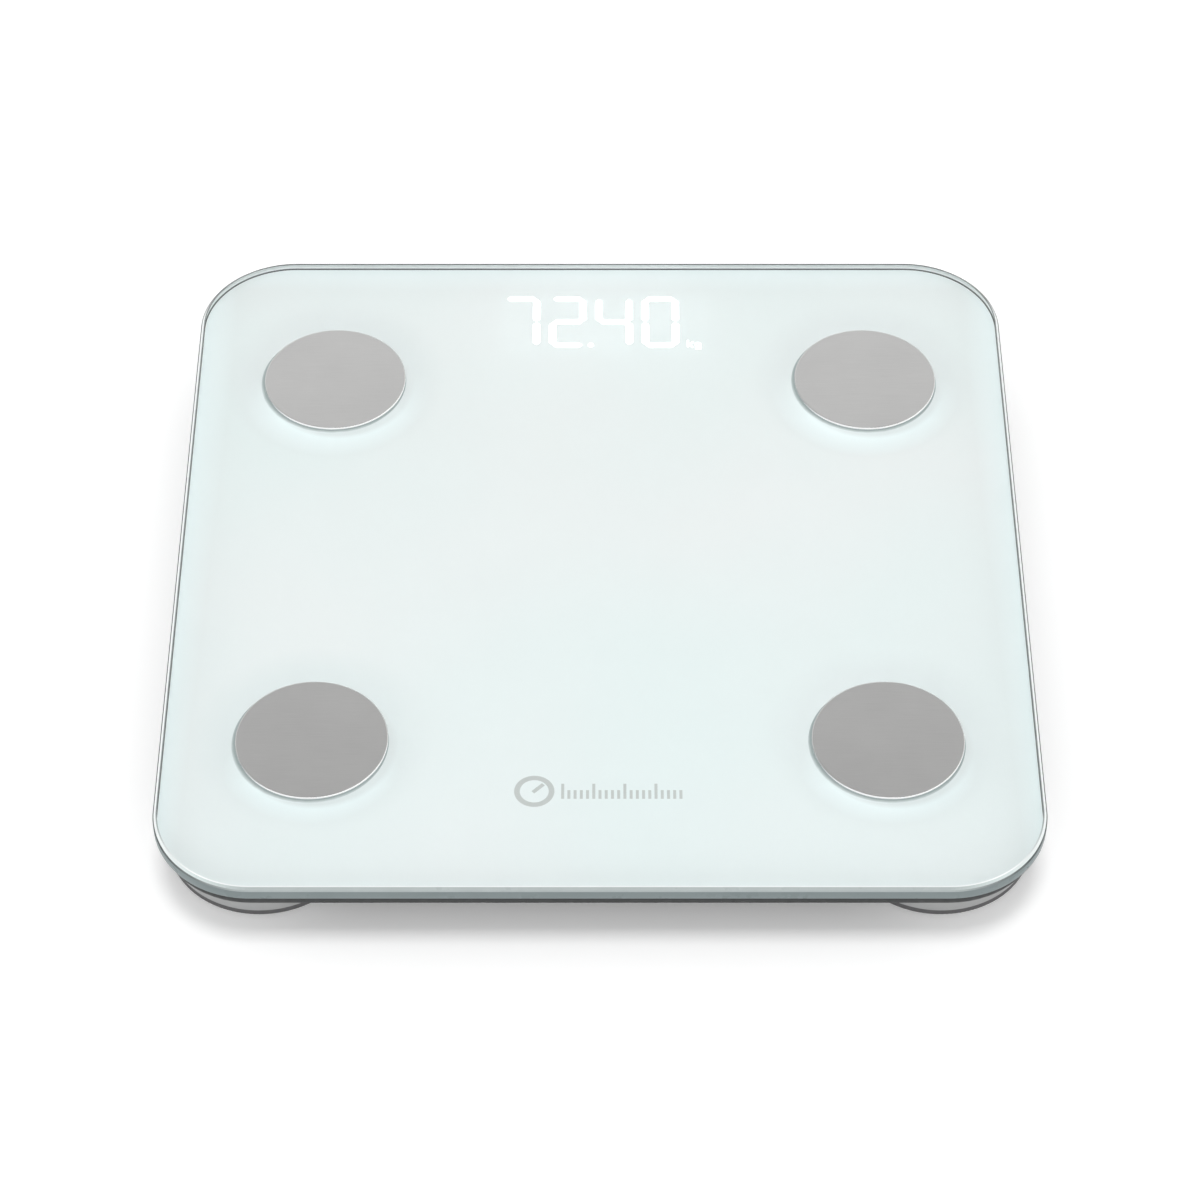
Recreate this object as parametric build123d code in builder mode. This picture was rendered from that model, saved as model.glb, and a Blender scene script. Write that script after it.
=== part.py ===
from build123d import *
import os

# Digital bathroom scale: a glass plate on a shallow moulded tray with four load-cell feet.
# Millimetres, +Z up, +Y towards the display. The origin is on the floor under the plate's centre.

os.makedirs("parts", exist_ok=True)

# ---- Driving dimensions -------------------------------------------------------------------------

# Glass plate
GLASS_WIDTH = 300.0
GLASS_DEPTH = 305.0
GLASS_THICKNESS = 6.0
GLASS_CORNER_RADIUS = 34.3
GLASS_TOP = 23.0
GLASS_CHAMFER = 1.2
GLASS_BOTTOM = GLASS_TOP - GLASS_THICKNESS

# Print layer and bonding tape under the glass
PRINT_THICKNESS = 0.2
PRINT_INSET = 1.4
PRINT_BOTTOM = GLASS_BOTTOM - PRINT_THICKNESS
TAPE_THICKNESS = 0.3
TAPE_WIDTH = 2.0

# Base shell
SHELL_INSET = 1.4
SHELL_WALL = 2.6
SHELL_FLOOR_THICKNESS = 2.0
SHELL_EDGE_RADIUS = 4.4
SHELL_INNER_RADIUS = 2.2
SHELL_TOP = PRINT_BOTTOM - TAPE_THICKNESS
SHELL_BOTTOM = GLASS_BOTTOM - 5.7
SHELL_FLOOR = SHELL_BOTTOM + SHELL_FLOOR_THICKNESS
CAVITY_HEIGHT = SHELL_TOP - SHELL_FLOOR
RIB_WIDTH = 2.4
BRACKET_BOSS_RADIUS = 3.0
BRACKET_BOSS_TOP = SHELL_FLOOR + 2.7
BOARD_BOSS_RADIUS = 2.5
BAY_LINING = 2.0
# Overlap between the solids that make up one moulding
JOIN = 0.5

# Electrodes
ELECTRODE_RADIUS = 26.05
ELECTRODE_X = 98.1
ELECTRODE_Y = 87.85
ELECTRODE_TOP = GLASS_TOP + 0.8
ELECTRODE_BOTTOM = GLASS_TOP + 0.05
ELECTRODE_EDGE_RADIUS = 0.35
GASKET_THICKNESS = 0.2
GASKET_RADIUS = 24.6
STUD_RADIUS = 2.0
STUD_HOLE_RADIUS = 3.5
STUD_TOP = GLASS_TOP + 0.3
STUD_END = SHELL_FLOOR + 0.9
NUT_HEIGHT = 1.9
NUT_RADIUS = 4.0
TERMINAL_THICKNESS = 0.3
TERMINAL_TAB = 9.0
TERMINAL_WIDTH = 3.0
TERMINAL_RADIUS = 4.6

# Feet
FOOT_X = 114.15
FOOT_Y = 112.6
FOOT_RADIUS = 32.3
PAD_THICKNESS = 2.2
PAD_EDGE_RADIUS = 0.2
TREAD_RADII = (24.0, 17.0, 10.0)
TREAD_WIDTH = 1.6
TREAD_DEPTH = 0.6
CUP_TOP = SHELL_BOTTOM - 0.7
CUP_FLOOR_THICKNESS = 2.0
CUP_WALL = 2.4
CUP_EDGE_RADIUS = 0.8
CUP_FLOOR = PAD_THICKNESS + CUP_FLOOR_THICKNESS
CUP_RIB_TOP = CUP_FLOOR + 1.0
CUP_RIB_START = 4.75
CUP_RIB_LENGTH = 24.5
CUP_RIB_WIDTH = 1.4
BOSS_RADIUS = 6.0
SKIRT_RADIUS = 28.5
SKIRT_WALL = 2.0
SKIRT_BOTTOM = 6.0

# Load cells
CELL_SIZE = 34.0
CELL_THICKNESS = 2.0
CELL_BOTTOM = 8.0
CELL_TOP = CELL_BOTTOM + CELL_THICKNESS
CELL_SLOT = 2.0
CELL_SLOT_REACH = 8.0
GAUGE_OFFSET = 11.5
GAUGE_THICKNESS = 0.1
GAUGE_SIZE = (5.0, 7.0)
BRACKET_SIZE = 38.6
BRACKET_OPENING = 28.0
BRACKET_LIP = 0.6
EAR_OFFSET = 22.2
EAR_RADIUS = 3.4
EAR_THICKNESS = 2.0
BRACKET_SCREW_RADIUS = 1.2
BRACKET_SCREW_DEPTH = 3.8
BRACKET_SCREW_HEAD_RADIUS = 2.3
BRACKET_SCREW_HEAD = 1.2
FOOT_SCREW_RADIUS = 1.25
FOOT_SCREW_HEAD = 0.7
FOOT_SCREW_HEAD_RADIUS = 2.8

# Display: four seven-segment digits
DIGIT_PITCH = 17.45
DIGIT_LAST_X = 22.75
DIGIT_Y = 122.4
SEGMENT_PITCH_X = 11.4
SEGMENT_PITCH_Y = 12.6
SEGMENT_WIDTH = 2.8
SEGMENT_GAP = 0.1
POINT_RADIUS = 1.15
UNIT_X = 33.0
UNIT_Y = 110.6
UNIT_STROKE = 0.7
UNIT_HEIGHT = 3.6
UNIT_BAR = 2.2
UNIT_BOWL = 1.25
UNIT_STEM = 2.8
HOUSING_WIDTH = 88.0
HOUSING_DEPTH = 36.0
HOUSING_X = 1.2
DISPLAY_BOARD_THICKNESS = 0.8
DISPLAY_BOARD_TOP = SHELL_FLOOR + DISPLAY_BOARD_THICKNESS
GUIDE_BOTTOM = DISPLAY_BOARD_TOP + 0.9
LED_SIZE = (1.6, 0.8, 0.5)
LED_GAP = 0.4
RIBBON_THICKNESS = 0.3
RIBBON_WIDTH = 12.0
RIBBON_LEAD_IN = 6.0
RIBBON_BEND = 4.0

# Main board
BOARD_WIDTH = 63.0
BOARD_DEPTH = 36.0
BOARD_Y = 66.0
BOARD_BOTTOM = 15.0
BOARD_THICKNESS = 1.0
BOARD_TOP = BOARD_BOTTOM + BOARD_THICKNESS
BOARD_SCREW_SPACING = (40.0, 30.0)
BOARD_SCREW_RADIUS = 0.85
BOARD_SCREW_HEAD_RADIUS = 2.0
BOARD_SCREW_HEAD = 0.6
CHIP_SIZE = 7.0
CHIP_HEIGHT = 1.0
CHIP_PLACE = (2.0, 75.0)
RADIO_BOARD_SIZE = (14.0, 10.0, 0.6)
RADIO_CAN_SIZE = (9.0, 8.5, 0.9)
RADIO_PLACE = (13.0, 61.0)
RADIO_CAN_OFFSET = -2.0
CONNECTOR_BOTTOM = SHELL_FLOOR + 0.05
CONNECTOR_DEPTH = 5.0

# Unit button
BUTTON_X = -12.0
BUTTON_Y = 60.0
BUTTON_RADIUS = 4.0
BUTTON_CLEARANCE = 0.35
BUTTON_FLANGE = 5.0
BUTTON_TRAVEL = 0.4
BUTTON_TOP = SHELL_FLOOR + 0.55
BUTTON_BOTTOM = SHELL_BOTTOM + 0.3
SWITCH_SIZE = 4.5
SWITCH_PLUNGER = BUTTON_TOP + BUTTON_TRAVEL + 0.03

# Battery bay
BATTERY_RADIUS = 5.25
BATTERY_LENGTH = 44.5
BATTERY_PITCH = 10.9
BATTERY_Z = 10.35
NUB_RADIUS = 1.9
NUB_LENGTH = 1.0
BAY_Y = 5.0
BAY_HALF_LENGTH = 25.4
BAY_HALF_WIDTH = 17.0
BAY_BOTTOM = 3.6
BAY_LEFT = -31.2
BAY_RIGHT = 32.6
BAY_SIDE_WALL = 3.2
BAY_CHAMFER = 1.0
BAY_CEILING = SHELL_TOP - 0.7
CONTACT_THICKNESS = 0.4
SPRING_RADIUS = 3.0
SPRING_WIRE_RADIUS = 0.35
SPRING_TURNS = 4

# Battery door
DOOR_LEFT = -27.4
DOOR_RIGHT = 28.0
DOOR_HALF_WIDTH = 18.0
DOOR_TOP = 4.95
DOOR_LEDGE = 5.0
DOOR_GAP = 0.3
DOOR_NOSE = 0.95
HOOK_LENGTH = 1.8
HOOK_BOTTOM = 4.3
HOOK_WIDTH = 6.0
HOOK_SPACING = 20.0
HOOK_GAP = 0.5
LATCH_WIDTH = 8.0
LATCH_TOP = 8.9
LATCH_THICKNESS = 0.8
LATCH_LOOP = 1.6
LATCH_GAP = 0.6
GRIP_GROOVES = 3
GRIP_PITCH = 2.2
GRIP_WIDTH = 1.1
GRIP_DEPTH = 0.35
GRIP_HALF_LENGTH = 7.0

# Internal leads
LEAD_RADIUS = 0.6
LEAD_Z = SHELL_FLOOR + 0.1 + LEAD_RADIUS

SIDES = {"left": -1, "right": 1}
ENDS = {"front": -1, "rear": 1}
CORNERS = [(f"{end}_{side}", sx, sy) for end, sy in ENDS.items() for side, sx in SIDES.items()]

# Lit segments of each digit, in the usual a to g order, for 7 2 4 0.
SEGMENT_NAMES = "abcdefg"
LIT_SEGMENTS = ["abc", "abged", "fgbc", "abcdef"]
POINT_AFTER_DIGIT = 1

# ---- Glass plate --------------------------------------------------------------------------------


def electrode_places(z):
    """Planes at height z on the four electrode axes."""
    return [Plane((sx * ELECTRODE_X, sy * ELECTRODE_Y, z)) for _, sx, sy in CORNERS]


def corner_plane(sx, sy, z):
    """Plane at height z on a foot's axis, with local X pointing away from the scale's centre."""
    return Plane((sx * FOOT_X, sy * FOOT_Y, z), x_dir=(sx, 0, 0))


with BuildPart() as glass_plate:
    with BuildSketch(Plane.XY.offset(GLASS_BOTTOM)):
        RectangleRounded(GLASS_WIDTH, GLASS_DEPTH, GLASS_CORNER_RADIUS)
    extrude(amount=GLASS_THICKNESS)
    rims = glass_plate.faces().filter_by(Axis.Z).edges()
    chamfer(rims, GLASS_CHAMFER)
    with BuildSketch(*electrode_places(GLASS_BOTTOM)):
        Circle(STUD_HOLE_RADIUS)
    extrude(amount=GLASS_THICKNESS, mode=Mode.SUBTRACT)
glass_plate.part.label = "glass_plate"
export_step(glass_plate.part, "parts/glass_plate.step")

# ---- Display outlines ---------------------------------------------------------------------------

# Centre, angle and length of each segment, from the digit's centre.
SEGMENT_PLACES = {
    "a": ((0, SEGMENT_PITCH_Y), 0),
    "b": ((SEGMENT_PITCH_X / 2, SEGMENT_PITCH_Y / 2), 90),
    "c": ((SEGMENT_PITCH_X / 2, -SEGMENT_PITCH_Y / 2), 90),
    "d": ((0, -SEGMENT_PITCH_Y), 0),
    "e": ((-SEGMENT_PITCH_X / 2, -SEGMENT_PITCH_Y / 2), 90),
    "f": ((-SEGMENT_PITCH_X / 2, SEGMENT_PITCH_Y / 2), 90),
    "g": ((0, 0), 0),
}
DIGIT_XS = [DIGIT_LAST_X - DIGIT_PITCH * (3 - index) for index in range(4)]
POINT_X = (DIGIT_XS[POINT_AFTER_DIGIT] + DIGIT_XS[POINT_AFTER_DIGIT + 1]) / 2
POINT_Y = DIGIT_Y - SEGMENT_PITCH_Y


def segment(name, digit_x):
    """One display segment: a bar with mitred ends, added to the sketch in hand."""
    (x, y), angle = SEGMENT_PLACES[name]
    pitch = SEGMENT_PITCH_X if angle == 0 else SEGMENT_PITCH_Y
    half = pitch / 2 - SEGMENT_GAP
    shoulder = half - SEGMENT_WIDTH / 2
    side = SEGMENT_WIDTH / 2
    upper = [(-half, 0), (-shoulder, side), (shoulder, side)]
    lower = [(half, 0), (shoulder, -side), (-shoulder, -side)]
    with Locations((digit_x + x, DIGIT_Y + y)):
        Polygon(*upper, *lower, rotation=angle)


def unit_letters():
    """The small kg unit sign, added to the sketch in hand."""
    # k: an upright and two slanting arms
    with Locations((UNIT_X, UNIT_Y)):
        Rectangle(UNIT_STROKE, UNIT_HEIGHT)
    for turn, lift in ((42, 0.15), (-42, -1.25)):
        with Locations(Location((UNIT_X + 1.15, UNIT_Y + lift, 0), (0, 0, turn))):
            Rectangle(UNIT_BAR, UNIT_STROKE)
    # g: a bowl, a stem and a hook
    with Locations((UNIT_X + 3.7, UNIT_Y - 0.5)):
        Circle(UNIT_BOWL)
        Circle(UNIT_BOWL - UNIT_STROKE, mode=Mode.SUBTRACT)
    with Locations((UNIT_X + 4.65, UNIT_Y - 1.3)):
        Rectangle(UNIT_STROKE, UNIT_STEM)
    with Locations((UNIT_X + 3.85, UNIT_Y - 2.65)):
        Rectangle(UNIT_BAR, UNIT_STROKE)


with BuildSketch() as lit_outline:
    for lit, digit_x in zip(LIT_SEGMENTS, DIGIT_XS):
        for name in lit:
            segment(name, digit_x)
    with Locations((POINT_X, POINT_Y)):
        Circle(POINT_RADIUS)
    unit_letters()

with BuildSketch() as unlit_outline:
    for lit, digit_x in zip(LIT_SEGMENTS, DIGIT_XS):
        for name in SEGMENT_NAMES:
            if name not in lit:
                segment(name, digit_x)

# ---- Generic mark: a small dial and a ruler of graduation ticks ---------------------------------

MARK_Y = -107.6
DIAL_X = -22.2
DIAL_RADIUS = 6.8
DIAL_STROKE = 1.9
NEEDLE_OFFSET = 1.3
NEEDLE_SIZE = (5.0, 1.4)
RULER_LEFT = -12.6
TICK_PITCH = 2.1
TICK_COUNT = 20
TICK_WIDTH = 1.0
TICK_HEIGHTS = (6.6, 3.8, 3.8, 3.8, 3.8)

with BuildSketch() as mark_outline:
    with Locations((DIAL_X, MARK_Y)):
        Circle(DIAL_RADIUS)
        Circle(DIAL_RADIUS - DIAL_STROKE, mode=Mode.SUBTRACT)
    with Locations(Location((DIAL_X + NEEDLE_OFFSET, MARK_Y + NEEDLE_OFFSET, 0), (0, 0, 45))):
        Rectangle(*NEEDLE_SIZE)
    for index in range(TICK_COUNT):
        height = TICK_HEIGHTS[index % len(TICK_HEIGHTS)]
        with Locations((RULER_LEFT + index * TICK_PITCH, MARK_Y + (height - TICK_HEIGHTS[0]) / 2)):
            Rectangle(TICK_WIDTH, height)

with BuildPart() as printed_mark:
    extrude(Plane.XY.offset(PRINT_BOTTOM) * mark_outline.sketch, amount=PRINT_THICKNESS)
printed_mark.part.label = "printed_mark"
export_step(printed_mark.part, "parts/printed_mark.step")

# ---- Print layer, with windows for the lit segments and the mark --------------------------------

with BuildPart() as print_layer:
    with BuildSketch(Plane.XY.offset(PRINT_BOTTOM)):
        RectangleRounded(
            GLASS_WIDTH - 2 * PRINT_INSET,
            GLASS_DEPTH - 2 * PRINT_INSET,
            GLASS_CORNER_RADIUS - PRINT_INSET,
        )
        add(lit_outline.sketch, mode=Mode.SUBTRACT)
        add(mark_outline.sketch, mode=Mode.SUBTRACT)
    extrude(amount=PRINT_THICKNESS)
    with BuildSketch(*electrode_places(PRINT_BOTTOM)):
        Circle(STUD_HOLE_RADIUS)
    extrude(amount=PRINT_THICKNESS, mode=Mode.SUBTRACT)
print_layer.part.label = "print_layer"
export_step(print_layer.part, "parts/print_layer.step")

# ---- Electrodes and their fasteners -------------------------------------------------------------


def make_electrode(sx, sy):
    """Stainless disc with a rolled rim, a recess for its gasket and a stud below."""
    recess_radius = GASKET_RADIUS + 0.2
    axis_plane = Plane((sx * ELECTRODE_X, sy * ELECTRODE_Y, 0))
    with BuildPart() as electrode:
        with BuildSketch(axis_plane.offset(ELECTRODE_BOTTOM)):
            Circle(ELECTRODE_RADIUS)
        extrude(amount=ELECTRODE_TOP - ELECTRODE_BOTTOM)
        top_edge = electrode.faces().sort_by(Axis.Z)[-1].edges()
        fillet(top_edge, ELECTRODE_EDGE_RADIUS)
        with BuildSketch(axis_plane.offset(ELECTRODE_BOTTOM)):
            Circle(recess_radius)
        extrude(amount=GLASS_TOP + GASKET_THICKNESS - ELECTRODE_BOTTOM, mode=Mode.SUBTRACT)
        with BuildSketch(axis_plane.offset(STUD_END)):
            Circle(STUD_RADIUS)
        extrude(amount=STUD_TOP - STUD_END)
    return electrode


for corner, sx, sy in CORNERS:
    name = f"electrode_{corner}"
    electrode = make_electrode(sx, sy)
    electrode.part.label = name
    export_step(electrode.part, f"parts/{name}.step")

with BuildPart() as electrode_gaskets:
    with BuildSketch(*electrode_places(GLASS_TOP)):
        Circle(GASKET_RADIUS)
        Circle(STUD_HOLE_RADIUS, mode=Mode.SUBTRACT)
    extrude(amount=GASKET_THICKNESS)
electrode_gaskets.part.label = "electrode_gaskets"
export_step(electrode_gaskets.part, "parts/electrode_gaskets.step")

NUT_TOP = PRINT_BOTTOM - TERMINAL_THICKNESS
with BuildPart() as electrode_terminals:
    for _, sx, sy in CORNERS:
        # Local X points to the scale's middle, along the terminal's tab.
        with BuildSketch(Plane((sx * ELECTRODE_X, sy * ELECTRODE_Y, NUT_TOP), x_dir=(-sx, 0, 0))):
            Circle(TERMINAL_RADIUS)
            with Locations((TERMINAL_TAB / 2, 0)):
                Rectangle(TERMINAL_TAB, TERMINAL_WIDTH)
            Circle(STUD_RADIUS + 0.1, mode=Mode.SUBTRACT)
        extrude(amount=TERMINAL_THICKNESS)
electrode_terminals.part.label = "electrode_terminals"
export_step(electrode_terminals.part, "parts/electrode_terminals.step")

with BuildPart() as electrode_nuts:
    with BuildSketch(*electrode_places(NUT_TOP - NUT_HEIGHT)):
        RegularPolygon(NUT_RADIUS, 6)
        Circle(STUD_RADIUS + 0.05, mode=Mode.SUBTRACT)
    extrude(amount=NUT_HEIGHT)
electrode_nuts.part.label = "electrode_nuts"
export_step(electrode_nuts.part, "parts/electrode_nuts.step")

# ---- Base shell ---------------------------------------------------------------------------------

SHELL_WIDTH = GLASS_WIDTH - 2 * SHELL_INSET
SHELL_DEPTH = GLASS_DEPTH - 2 * SHELL_INSET
SHELL_RADIUS = GLASS_CORNER_RADIUS - SHELL_INSET

# Ribs as (centre x, centre y, length in x, length in y).
CROSS_RIB_LENGTH = 88.0
SPINE_RIB_LENGTH = 118.0
SIDE_RIB_LENGTH = 78.0
SIDE_RIB_X = 101.0
CROSS_RIBS = [(0, y, CROSS_RIB_LENGTH, RIB_WIDTH) for y in (-30, -60)]
SPINE_RIBS = [(0, -80, RIB_WIDTH, SPINE_RIB_LENGTH)]
SIDE_RIBS = [(sx * SIDE_RIB_X, y, SIDE_RIB_LENGTH, RIB_WIDTH) for sx in (-1, 1) for y in (-45, 0, 45)]
RIBS = CROSS_RIBS + SPINE_RIBS + SIDE_RIBS

BRACKET_SCREW_PLACES = [
    corner_plane(sx, sy, SHELL_BOTTOM).from_local_coords((side * EAR_OFFSET, 0, 0))
    for _, sx, sy in CORNERS
    for side in (-1, 1)
]
HOOK_YS = [BAY_Y - HOOK_SPACING / 2, BAY_Y + HOOK_SPACING / 2]
CELL_YS = [BAY_Y - BATTERY_PITCH, BAY_Y, BAY_Y + BATTERY_PITCH]
LATCH_POCKET_LEFT = DOOR_RIGHT - LATCH_THICKNESS - 0.4
LATCH_POCKET_RIGHT = DOOR_RIGHT + LATCH_LOOP + LATCH_THICKNESS + LATCH_GAP


def box_between(low, high, mode=Mode.ADD):
    """A box between two corners, added to or cut from the part in hand."""
    size = [b - a for a, b in zip(low, high)]
    centre = tuple((a + b) / 2 for a, b in zip(low, high))
    with Locations(centre):
        Box(*size, mode=mode)


with BuildPart() as base_shell:
    # Tray with a rounded lower edge
    with BuildSketch(Plane.XY.offset(SHELL_BOTTOM)):
        RectangleRounded(SHELL_WIDTH, SHELL_DEPTH, SHELL_RADIUS)
    extrude(amount=SHELL_TOP - SHELL_BOTTOM)
    lower_edge = base_shell.faces().sort_by(Axis.Z)[0].edges()
    fillet(lower_edge, SHELL_EDGE_RADIUS)
    with BuildSketch(Plane.XY.offset(SHELL_FLOOR)):
        RectangleRounded(
            SHELL_WIDTH - 2 * SHELL_WALL,
            SHELL_DEPTH - 2 * SHELL_WALL,
            SHELL_RADIUS - SHELL_WALL,
        )
    extrude(amount=CAVITY_HEIGHT, mode=Mode.SUBTRACT)
    cavity_edge = base_shell.faces().filter_by(Axis.Z).sort_by(Axis.Z)[1].edges()
    fillet(cavity_edge, SHELL_INNER_RADIUS)
    # Stiffening ribs
    for x, y, length_x, length_y in RIBS:
        with BuildSketch(Plane((x, y, SHELL_FLOOR - JOIN))):
            Rectangle(length_x, length_y)
        extrude(amount=CAVITY_HEIGHT + JOIN)
    # Skirt round each load cell
    for _, sx, sy in CORNERS:
        with BuildSketch(corner_plane(sx, sy, SKIRT_BOTTOM)):
            Circle(SKIRT_RADIUS)
            Circle(SKIRT_RADIUS - SKIRT_WALL, mode=Mode.SUBTRACT)
        extrude(amount=SHELL_BOTTOM - SKIRT_BOTTOM + JOIN)
    # Bosses for the bracket screws and the main board
    for place in BRACKET_SCREW_PLACES:
        with BuildSketch(Plane((place.X, place.Y, SHELL_FLOOR - JOIN))):
            Circle(BRACKET_BOSS_RADIUS)
        extrude(amount=BRACKET_BOSS_TOP - SHELL_FLOOR + JOIN)
    with BuildSketch(Plane((0, BOARD_Y, SHELL_FLOOR - JOIN))):
        with GridLocations(*BOARD_SCREW_SPACING, 2, 2):
            Circle(BOARD_BOSS_RADIUS)
    extrude(amount=BOARD_BOTTOM - SHELL_FLOOR + JOIN)
    # Battery bay
    box_between(
        (BAY_LEFT, BAY_Y - BAY_HALF_WIDTH - BAY_SIDE_WALL, BAY_BOTTOM),
        (BAY_RIGHT, BAY_Y + BAY_HALF_WIDTH + BAY_SIDE_WALL, SHELL_FLOOR),
    )
    bay_rim = base_shell.faces().sort_by(Axis.Z)[0].edges()
    chamfer(bay_rim, BAY_CHAMFER)
    box_between(
        (-BAY_HALF_LENGTH - BAY_LINING, BAY_Y - BAY_HALF_WIDTH - BAY_LINING, SHELL_FLOOR - JOIN),
        (BAY_HALF_LENGTH + BAY_LINING, BAY_Y + BAY_HALF_WIDTH + BAY_LINING, SHELL_TOP),
    )
    box_between(
        (-BAY_HALF_LENGTH, BAY_Y - BAY_HALF_WIDTH, BAY_BOTTOM),
        (BAY_HALF_LENGTH, BAY_Y + BAY_HALF_WIDTH, BAY_CEILING),
        mode=Mode.SUBTRACT,
    )
    # Seat for the battery door, slots for its hooks and pocket for its latch
    box_between(
        (DOOR_LEFT - DOOR_GAP, BAY_Y - DOOR_HALF_WIDTH - DOOR_GAP, BAY_BOTTOM),
        (DOOR_RIGHT + DOOR_GAP, BAY_Y + DOOR_HALF_WIDTH + DOOR_GAP, DOOR_LEDGE),
        mode=Mode.SUBTRACT,
    )
    for y in HOOK_YS:
        box_between(
            (DOOR_LEFT - HOOK_LENGTH - HOOK_GAP, y - HOOK_WIDTH / 2 - HOOK_GAP, HOOK_BOTTOM - 0.1),
            (DOOR_LEFT + HOOK_GAP, y + HOOK_WIDTH / 2 + HOOK_GAP, HOOK_BOTTOM + 3.0),
            mode=Mode.SUBTRACT,
        )
    box_between(
        (LATCH_POCKET_LEFT, BAY_Y - LATCH_WIDTH / 2 - LATCH_GAP, BAY_BOTTOM),
        (LATCH_POCKET_RIGHT, BAY_Y + LATCH_WIDTH / 2 + LATCH_GAP, LATCH_TOP + LATCH_GAP),
        mode=Mode.SUBTRACT,
    )
    # Screw pilots, lead holes and the unit button's hole
    for place in BRACKET_SCREW_PLACES:
        with BuildSketch(Plane((place.X, place.Y, SHELL_BOTTOM))):
            Circle(BRACKET_SCREW_RADIUS + 0.05)
        extrude(amount=BRACKET_SCREW_DEPTH + 0.3, mode=Mode.SUBTRACT)
    with BuildSketch(Plane((0, BOARD_Y, SHELL_FLOOR - 0.6))):
        with GridLocations(*BOARD_SCREW_SPACING, 2, 2):
            Circle(BOARD_SCREW_RADIUS + 0.05)
    extrude(amount=BOARD_BOTTOM - SHELL_FLOOR + 0.6, mode=Mode.SUBTRACT)
    for _, sx, sy in CORNERS:
        with BuildSketch(corner_plane(sx, sy, SHELL_BOTTOM)):
            with Locations((-GAUGE_OFFSET, 0)):
                Circle(LEAD_RADIUS + 1.2)
        extrude(amount=SHELL_FLOOR_THICKNESS, mode=Mode.SUBTRACT)
    with BuildSketch(Plane((BUTTON_X, BUTTON_Y, SHELL_BOTTOM))):
        Circle(BUTTON_RADIUS + BUTTON_CLEARANCE)
    extrude(amount=SHELL_FLOOR_THICKNESS, mode=Mode.SUBTRACT)
    for side, y in ((-1, CELL_YS[2]), (1, CELL_YS[0])):
        with BuildSketch(Plane((side * BAY_HALF_LENGTH, y, LEAD_Z), z_dir=(side, 0, 0))):
            Circle(LEAD_RADIUS + 0.1)
        extrude(amount=2.0, mode=Mode.SUBTRACT)
base_shell.part.label = "base_shell"
export_step(base_shell.part, "parts/base_shell.step")

with BuildPart() as bonding_tape:
    with BuildSketch(Plane.XY.offset(SHELL_TOP)):
        RectangleRounded(SHELL_WIDTH - 0.6, SHELL_DEPTH - 0.6, SHELL_RADIUS - 0.3)
        inner = 0.6 + 2 * TAPE_WIDTH
        RectangleRounded(
            SHELL_WIDTH - inner,
            SHELL_DEPTH - inner,
            SHELL_RADIUS - inner / 2,
            mode=Mode.SUBTRACT,
        )
        for x, y, length_x, length_y in RIBS:
            with Locations((x, y)):
                Rectangle(length_x - 1.0, length_y)
    extrude(amount=TAPE_THICKNESS)
bonding_tape.part.label = "bonding_tape"
export_step(bonding_tape.part, "parts/bonding_tape.step")

# ---- Display ------------------------------------------------------------------------------------

with BuildPart() as display_segments_lit:
    extrude(Plane.XY.offset(GUIDE_BOTTOM) * lit_outline.sketch, amount=GLASS_BOTTOM - GUIDE_BOTTOM)
display_segments_lit.part.label = "display_segments_lit"
export_step(display_segments_lit.part, "parts/display_segments_lit.step")

with BuildPart() as display_segments_unlit:
    extrude(Plane.XY.offset(GUIDE_BOTTOM) * unlit_outline.sketch, amount=PRINT_BOTTOM - GUIDE_BOTTOM)
display_segments_unlit.part.label = "display_segments_unlit"
export_step(display_segments_unlit.part, "parts/display_segments_unlit.step")

SEGMENT_LEDS = [
    (digit_x + x, DIGIT_Y + y, angle)
    for digit_x in DIGIT_XS
    for (x, y), angle in SEGMENT_PLACES.values()
]
LED_PLACES = SEGMENT_LEDS + [(POINT_X, POINT_Y, 90), (UNIT_X + 2.0, UNIT_Y, 0)]

with BuildPart() as display_housing:
    with BuildSketch(Plane((HOUSING_X, DIGIT_Y, DISPLAY_BOARD_TOP))):
        RectangleRounded(HOUSING_WIDTH, HOUSING_DEPTH, 3.0)
    extrude(amount=PRINT_BOTTOM - DISPLAY_BOARD_TOP)
    extrude(
        Plane.XY.offset(GUIDE_BOTTOM) * (lit_outline.sketch + unlit_outline.sketch),
        amount=PRINT_BOTTOM - GUIDE_BOTTOM,
        mode=Mode.SUBTRACT,
    )
    for x, y, turn in LED_PLACES:
        with BuildSketch(Plane((x, y, DISPLAY_BOARD_TOP))):
            Rectangle(LED_SIZE[0] + LED_GAP, LED_SIZE[1] + LED_GAP, rotation=turn)
        extrude(amount=GUIDE_BOTTOM - DISPLAY_BOARD_TOP, mode=Mode.SUBTRACT)
display_housing.part.label = "display_housing"
export_step(display_housing.part, "parts/display_housing.step")

with BuildPart() as display_leds:
    for x, y, turn in LED_PLACES:
        with BuildSketch(Plane((x, y, DISPLAY_BOARD_TOP))):
            Rectangle(LED_SIZE[0], LED_SIZE[1], rotation=turn)
        extrude(amount=LED_SIZE[2])
display_leds.part.label = "display_leds"
export_step(display_leds.part, "parts/display_leds.step")

with BuildPart() as display_board:
    with BuildSketch(Plane((HOUSING_X, DIGIT_Y, SHELL_FLOOR))):
        RectangleRounded(HOUSING_WIDTH, HOUSING_DEPTH, 2.0)
    extrude(amount=DISPLAY_BOARD_THICKNESS)
display_board.part.label = "display_board"
export_step(display_board.part, "parts/display_board.step")

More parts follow.
